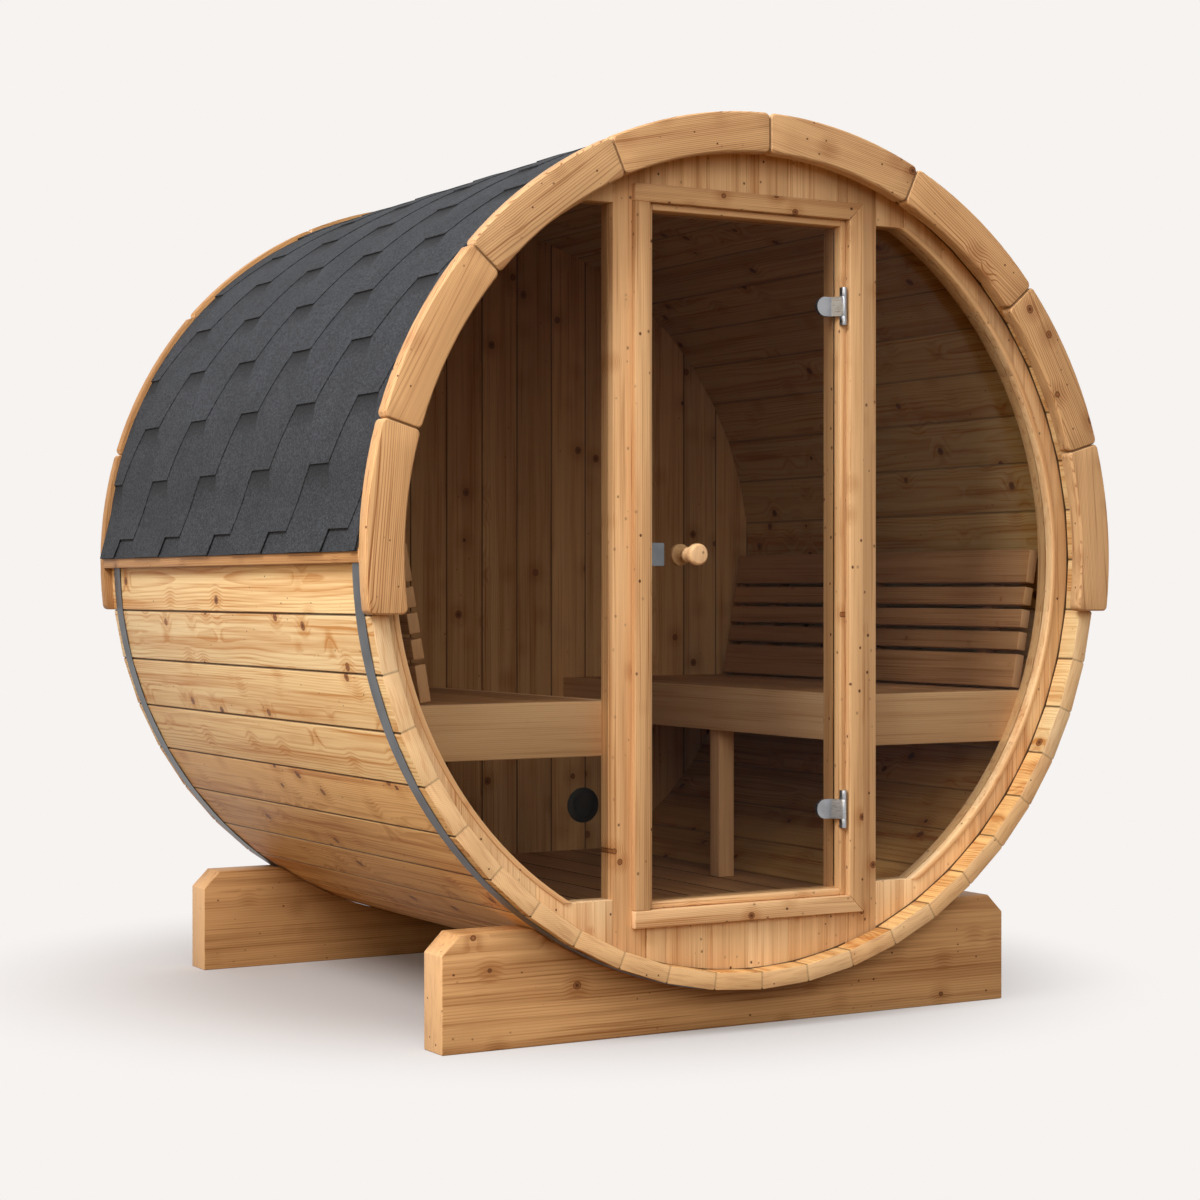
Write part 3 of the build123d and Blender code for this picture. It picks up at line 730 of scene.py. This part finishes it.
def pane_bead(side, material):
    """Rounded bead on the wall along the round edge of a pane, cut level at both ends."""
    pane_low, pane_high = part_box(f"pane_{side}")
    wall_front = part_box(f"front_rim_{side}")[0].y
    sign = -1 if side == "left" else 1
    pane_edge = max(abs(pane_low.x), abs(pane_high.x)) - bead_lap
    bottom = pane_low.z + bead_lap
    top = pane_high.z - bead_lap
    first = asin((bottom - axis_height) / pane_edge) - bead_overlength
    last = asin((top - axis_height) / pane_edge) + bead_overlength
    bm = bmesh.new()
    grain_layer = bm.verts.layers.float_vector.new("grain")
    along_layer = bm.verts.layers.float_vector.new("along")
    rim_layer = bm.verts.layers.float_vector.new("rim")
    tone_layer = bm.verts.layers.float.new("tone")
    rows = []
    for turn in steps(first, last, bead_steps):
        outward = Vector((sign * cos(turn), 0, sin(turn)))
        row = []
        for share in steps(0.0, 1.0, bead_curve):
            reach = pane_edge + bead_width * (1 - cos(share * pi)) / 2
            stand = bead_height * sin(share * pi) ** bead_fullness
            place = Vector((0, wall_front - stand, axis_height)) + outward * reach
            vert = bm.verts.new(place)
            vert[grain_layer] = (turn * pane_edge, reach, stand)
            vert[along_layer] = (-sign * sin(turn), 0, cos(turn))
            vert[rim_layer] = (0, 1, 0)
            vert[tone_layer] = bead_tone
            row.append(vert)
        rows.append(row)
    for near, far in zip(rows, rows[1:]):
        for a, b, c, d in zip(near, near[1:], far[1:], far):
            bm.faces.new((a, b, c, d))
        bm.faces.new((near[-1], near[0], far[0], far[-1]))
    bm.faces.new(rows[0])
    bm.faces.new(rows[-1])
    bead = cut_into_boards(bm, [bottom, top], axis=2)[1]
    piece = joined(f"pane_bead_{side}", [bead])
    piece.data.materials.append(material)
    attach(piece, "cabin")


def eave_slope():
    """Place of the eave, place where the covering meets the barrel, and the length between them."""
    eave_out = roof_high.x - felt_thickness * eave_layers
    eave_up = roof_low.z
    kick_out = roof_radius * cos(eave_kick)
    kick_up = axis_height + roof_radius * sin(eave_kick)
    length = sqrt((eave_out - kick_out) ** 2 + (kick_up - eave_up) ** 2)
    return eave_out, eave_up, kick_out, kick_up, length


def roof_line(run, lift, side):
    """Point of the roof section at a run up from the eave, lifted off the base sheet."""
    eave_out, eave_up, kick_out, kick_up, length = eave_slope()
    if run < length:
        share = run / length
        normal = Vector((kick_up - eave_up, 0, eave_out - kick_out)) / length
        out = eave_out + (kick_out - eave_out) * share
        place = Vector((out, 0, eave_up + (kick_up - eave_up) * share))
    else:
        turn = eave_kick + (run - length) / roof_radius
        normal = Vector((cos(turn), 0, sin(turn)))
        place = Vector((0, 0, axis_height)) + normal * roof_radius
    place += normal * lift
    return Vector((side * place.x, 0, place.z)), Vector((side * normal.x, 0, normal.z))


def ridge_run():
    """Run from the eave to the ridge."""
    length = eave_slope()[-1]
    return length + (radians(90) - eave_kick) * roof_radius


def felt_patch(bm, side, runs, edges, lift, tone, shadow_band):
    """A patch of felt between front and rear edges at each run, with its thickness."""
    tone_layer = bm.verts.layers.float.get("tone") or bm.verts.layers.float.new("tone")
    band_layer = bm.verts.layers.float.get("shadow_band") or bm.verts.layers.float.new("shadow_band")
    rows = []
    for run, (near, far) in zip(runs, edges):
        place, normal = roof_line(run, lift(run), side)
        row = []
        for level in (felt_thickness, 0.0):
            for depth in (near, far):
                vert = bm.verts.new(place + normal * level + Vector((0, depth, 0)))
                vert[tone_layer] = tone
                vert[band_layer] = shadow_band(run)
                row.append(vert)
        rows.append(row)
    for (a, b, c, d), (e, f, g, h) in zip(rows, rows[1:]):
        bm.faces.new((a, b, f, e))
        bm.faces.new((c, g, h, d))
        bm.faces.new((a, e, g, c))
        bm.faces.new((b, d, h, f))
    a, b, c, d = rows[0]
    bm.faces.new((a, c, d, b))
    a, b, c, d = rows[-1]
    bm.faces.new((a, b, d, c))


def steps(start, end, count):
    """Evenly spaced values from start to end."""
    return [start + (end - start) * index / count for index in range(count + 1)]


def shingle_course(bm, side, index):
    """One row of six-sided tabs under a straight strip."""
    low = first_flat + (index - 1) * exposure
    notch = low + exposure
    top = min(low + exposure * strip_length_share, ridge_run())
    start = max(low, 0.0)
    rise = felt_thickness * strip_length_share

    def lift(run):
        return rise * (1 - (run - low) / (exposure * strip_length_share))

    # Printed shadow band with painted shade, under the flats of the course above
    def shadow_band(run):
        return max(0.0, 1 - abs(notch + exposure - run) / (shade_share * exposure))

    def clamp(depth):
        return min(max(depth, front_end), rear_end)

    slope = (tab_pitch - 2 * tab_flat) / 2 / exposure
    offset = front_end + front_flat_offset + (index % 2 - 1) * tab_pitch / 2
    for tab in range(-1, int((rear_end - front_end) / tab_pitch) + 3):
        centre = offset + tab * tab_pitch
        tone = choice.random()
        runs = steps(start, notch, tab_rows)
        spans = [tab_flat / 2 + slope * (run - low) for run in runs]
        edges = [(clamp(centre - span), clamp(centre + span)) for span in spans]
        if edges[-1][1] - edges[-1][0] > weld_distance and start < notch < top:
            felt_patch(bm, side, runs, edges, lift, tone, shadow_band)
    if start < notch < top:
        runs = steps(notch, top, strip_rows)
        felt_patch(bm, side, runs, [(front_end, rear_end)] * len(runs), lift, strip_tone, shadow_band)


def shingles(material):
    """Base sheet, rows of tabs on both slopes and lapped pieces along the ridge."""
    bm = bmesh.new()
    ridge = ridge_run()
    for side in (-1, 1):
        runs = steps(0.0, ridge, base_rows)
        felt_patch(bm, side, runs, [(front_end, rear_end)] * len(runs),
                   lambda run: -felt_thickness, base_tone, lambda run: 0.0)
        for index in range(course_count):
            shingle_course(bm, side, index)
    count = round((rear_end - front_end) / cap_exposure)
    pitch = (rear_end - front_end) / count
    for index in range(count):
        near = front_end + index * pitch
        far = min(near + cap_lap * pitch, rear_end)
        tone = choice.random()
        for side in (-1, 1):
            runs = steps(ridge - cap_half_width, ridge, cap_rows)
            lap = felt_thickness * (cap_lift + cap_step * (index % 2))
            felt_patch(bm, side, runs, [(near, far)] * len(runs), lambda run: lap, tone, lambda run: 0.0)
    bmesh.ops.recalc_face_normals(bm, faces=bm.faces[:])
    mesh = bpy.data.meshes.new("roof_shingles")
    bm.to_mesh(mesh)
    bm.free()
    piece = bpy.data.objects.new("roof_shingles", mesh)
    bpy.context.scene.collection.objects.link(piece)
    piece.data.materials.append(material)
    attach(piece, "cabin")
    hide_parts("roof")


def seen_ray(n):
    """One for rays by which the background is seen, also in metal and through glass."""
    path = n.add("LightPath")
    seen = n.maths("MAXIMUM", path.outputs["Is Camera Ray"], path.outputs["Is Glossy Ray"])
    return n.maths("MAXIMUM", seen, path.outputs["Is Transmission Ray"])


def stage():
    """Pale floor that keeps the shadow and fades into the background."""
    n = Nodes(bpy.data.materials.new("studio_floor"))
    place = n.add("TexCoord").outputs["Object"]
    away = n.add("VectorMath", {0: place, 1: floor_clear_centre}, operation="DISTANCE").outputs["Value"]
    far = n.ranged(away, *floor_clear_radius)
    seen = seen_ray(n)
    bounced = n.add("LightPath").outputs["Is Diffuse Ray"]
    tint = n.mixed(bounced, floor_colour, floor_bounce)
    matt = n.principled({
        "Base Color": tint,
        "Roughness": floor_roughness,
        "Specular IOR Level": floor_sheen,
    })
    glow = n.add("Emission", {"Color": floor_glow, "Strength": seen}).outputs[0]
    matt = n.add("AddShader", {0: matt, 1: glow}).outputs[0]
    plain = n.add("Emission", {"Color": background_colour, "Strength": 1.0}).outputs[0]
    fade = n.maths("MULTIPLY", far, seen)
    material = n.finish(n.add("MixShader", {0: fade, 1: matt, 2: plain}).outputs[0])
    mesh = bpy.data.meshes.new("studio_floor")
    corners = [(-floor_half, -floor_half, 0), (floor_half, -floor_half, 0),
               (floor_half, floor_half, 0), (-floor_half, floor_half, 0)]
    mesh.from_pydata(corners, [], [(0, 1, 2, 3)])
    ground = bpy.data.objects.new("studio_floor", mesh)
    ground.data.materials.append(material)
    bpy.context.scene.collection.objects.link(ground)
    ground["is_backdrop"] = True


def lamps():
    """A key lamp from the upper left and weak ones in front and low on the left."""
    places = {
        "key": ((-7.2, -3.0, 8.0), 4.0, 960.0, (0.96, 1.0, 1.05)),
        "front": ((-3.5, -8.0, 3.6), 4.0, 225.0, (1.0, 0.97, 0.93)),
        "left": ((-7.5, -1.5, 2.4), 2.5, 100.0, (1.0, 0.81, 0.53)),
    }
    for name, (place, size, power, colour) in places.items():
        lamp = bpy.data.lights.new(name, "AREA")
        lamp.size = size
        lamp.energy = power
        lamp.color = colour
        holder = bpy.data.objects.new(name, lamp)
        holder.location = place
        aim = Vector((0, 0, axis_height)) - Vector(place)
        holder.rotation_euler = aim.to_track_quat("-Z", "Y").to_euler()
        bpy.context.scene.collection.objects.link(holder)


def sky():
    """Even sky that is brighter overhead, and a plain background where it is seen."""
    world = bpy.data.worlds.new("studio")
    bpy.context.scene.world = world
    n = Nodes(world)
    up = n.add("SeparateXYZ", {0: n.add("TexCoord").outputs["Generated"]}).outputs["Z"]
    strength = n.ranged(up, *sky_rise, *sky_strength)
    tint = n.mixed(n.ranged(up, *sky_rise), horizon_colour, sky_colour)
    soft = n.add("Background", {"Color": tint, "Strength": strength}).outputs[0]
    plain = n.add("Background", {"Color": background_colour, "Strength": 1.0}).outputs[0]
    shader = n.add("MixShader", {0: seen_ray(n), 1: soft, 2: plain}).outputs[0]
    n.add("OutputWorld", {"Surface": shader})


def camera():
    """Camera at the photograph's viewpoint."""
    data = bpy.data.cameras.new("camera")
    data.lens = camera_lens
    data.sensor_width = camera_sensor
    data.clip_end = camera_reach
    ahead = Vector((
        sin(camera_yaw) * cos(camera_pitch),
        cos(camera_yaw) * cos(camera_pitch),
        sin(camera_pitch),
    ))
    holder = bpy.data.objects.new("camera", data)
    holder.location = camera_place
    holder.rotation_euler = ahead.to_track_quat("-Z", "Y").to_euler()
    bpy.context.scene.collection.objects.link(holder)
    bpy.context.scene.camera = holder


door_nodes = frame["record"]["behaviour"]["bodies"]["door"]

stave_wood = wood("stave_wood", (0.91, 0.71, 0.405, 1), (0.55, 0.25, 0.07, 1), sway=0.018,
                  streaks=0.5, level=(0.95, 1.05), knots=1.35, pin_reach=0.09)
# Painted shade: a warmer, deeper copy of the stave wood for the bottom staves, standing in for warm
# bounce shade under the barrel
shaded_low_stave_wood = wood("shaded_low_stave_wood", (0.96, 0.63, 0.285, 1), (0.52, 0.21, 0.056, 1), sway=0.018,
                      streaks=0.6, level=(0.9, 1.05), knots=1.45, pin_reach=0.09)
trim_wood = wood("trim_wood", (0.73, 0.45, 0.22, 1), (0.30, 0.12, 0.04, 1), ring_pitch=0.0036,
                 ring_share=0.75, late_from=0.6, sway=0.014, streaks=0.2, level=(0.95, 1.05), knots=1.25,
                 pin_reach=0.1)
cradle_wood = wood("cradle_wood", (0.70, 0.42, 0.195, 1), (0.34, 0.15, 0.05, 1), ring_pitch=0.006,
                   ring_share=0.4, sway=0.015, knots=1.2, pin_reach=0.11)
# Painted shade: a darker copy of the cradle wood for the rear cradle
shaded_cradle_wood = wood("shaded_cradle_wood", (0.56, 0.31, 0.13, 1), (0.28, 0.12, 0.04, 1),
                        ring_pitch=0.006, ring_share=0.4, sway=0.015, knots=1.2, pin_reach=0.11)
wall_wood = wood("wall_wood", (0.82, 0.535, 0.28, 1), (0.42, 0.185, 0.062, 1), ring_pitch=0.0032,
                 ring_share=0.45, sway=0.015, streaks=0.4, pin_reach=0.14)
rear_wood = wood("rear_wood", (0.83, 0.535, 0.262, 1), (0.43, 0.20, 0.07, 1), ring_pitch=0.0032,
                 ring_share=0.4, sway=0.015, streaks=0.5, level=(0.82, 1.08), knots=1.3, pin_reach=0.08)
# The front wall panels carry a painted shadow ring next to the staves
panel_wood = wood("panel_wood", (0.92, 0.65, 0.36, 1), (0.54, 0.255, 0.10, 1), ring_pitch=0.0028,
                  ring_share=0.4, sway=0.015, knots=0.5, pin_reach=0.12, painted_shadow_radius=wall_shadow_radius)
# Painted light: a paler copy of the interior wood for the bench fronts, ends and leg, which the lamps
# light through the glass
lit_bench_wood = wood("lit_bench_wood", (0.98, 0.70, 0.43, 1), (0.68, 0.41, 0.20, 1), ring_share=0.4,
                  sway=0.015, knots=0.3, pin_reach=0.02)
# Painted shade: a darker copy of the interior wood for the cabin's floor, seats, backrests and their
# frames
cabin_wood = wood("cabin_wood", (0.60, 0.345, 0.165, 1), (0.33, 0.15, 0.06, 1), ring_share=0.4,
                  sway=0.015, knots=0.4, pin_reach=0.03)
# Painted shade: a darker wood for the eave battens under the eave, also used for the rear trim
shaded_batten_wood = wood("shaded_batten_wood", (0.50, 0.27, 0.11, 1), (0.27, 0.12, 0.04, 1), sway=0.015)
hinge_metal = metal("hinge_metal", (0.40, 0.41, 0.43, 1), 0.24, brush_lengthwise)
catch_metal = metal("catch_metal", (0.17, 0.18, 0.19, 1), 0.3, brush_lengthwise)
hoop_steel = metal("hoop_steel", (0.16, 0.165, 0.175, 1), 0.34, brush_round)
roof_felt = felt("roof_felt")
clear_glass = glass("glass")
vent_plastic = plastic("vent_plastic", (0.012, 0.013, 0.014, 1))

camera()
stage()
lamps()
sky()

for level in ("top", "side", "bottom"):
    # Painted shade: the bottom staves get the warmer, deeper copy
    board = shaded_low_stave_wood if level == "bottom" else stave_wood
    for side in ("left", "right"):
        timber(f"staves_{level}_{side}", board, stave_ease, along_stave,
               joints=stave_joints, pith_range=stave_grain)
# Painted shade: the eave battens get the darker wood
timber("eave_battens", shaded_batten_wood, board_ease)
for end in ("front", "rear"):
    # Painted shade: the rear trim gets the darker batten wood
    board = trim_wood if end == "front" else shaded_batten_wood
    timber(f"trim_{end}", board, trim_ease, along_arc, pith_range=trim_grain,
           edges=mark_arc_ends)
    # Painted shade: the rear cradle gets the darker copy
    board = cradle_wood if end == "front" else shaded_cradle_wood
    timber(f"cradle_{end}", board, cradle_ease)
for node in ("front_rim_left", "front_rim_right", "front_wall_head", "front_wall_sill"):
    low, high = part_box(node)
    cuts = board_joints(low.x, high.x, wall_board_pitch)
    timber(node, panel_wood, wall_joint_ease, along_height, cuts)
low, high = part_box("rear_wall")
timber("rear_wall", rear_wood, rear_joint_ease, along_height,
       board_joints(low.x, high.x, rear_board_pitch, rear_joint_offset), flat_joints)
for node in ("front_post_left", "front_post_right", "door_lining", "door_casing", "inner_casing"):
    timber(node, wall_wood, board_ease)
# Painted shade: the cabin's floor, seats, backrests and frames get the darker copy
timber("floor", cabin_wood, board_ease, joints=flat_joints)
for node in ("floor_bearers", "bench_rails", "backrest_uprights", "bench_seat_left",
             "bench_seat_right", "backrest_left", "backrest_right"):
    timber(node, cabin_wood, board_ease)
# Painted light: the bench fronts, ends and leg get the paler copy
for node in ("bench_aprons", "bench_ends", "bench_leg"):
    timber(node, lit_bench_wood, board_ease)
timber("door_knob", wall_wood, board_ease)
for side in ("left", "right"):
    pane_bead(side, panel_wood)
shingles(roof_felt)
for node in ("hinge_frame_upper", "hinge_frame_lower", "hinge_leaf_upper", "hinge_leaf_lower"):
    dress(node, hinge_metal, metal_ease)
dress("door_catch", catch_metal, metal_ease)
dress("hoops", hoop_steel)
dress("air_vent", vent_plastic, vent_ease)
for node in ("pane_left", "pane_right", "door_glass"):
    dress(node, clear_glass)

bpy.context.scene.view_settings.view_transform = "Standard"
low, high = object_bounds()
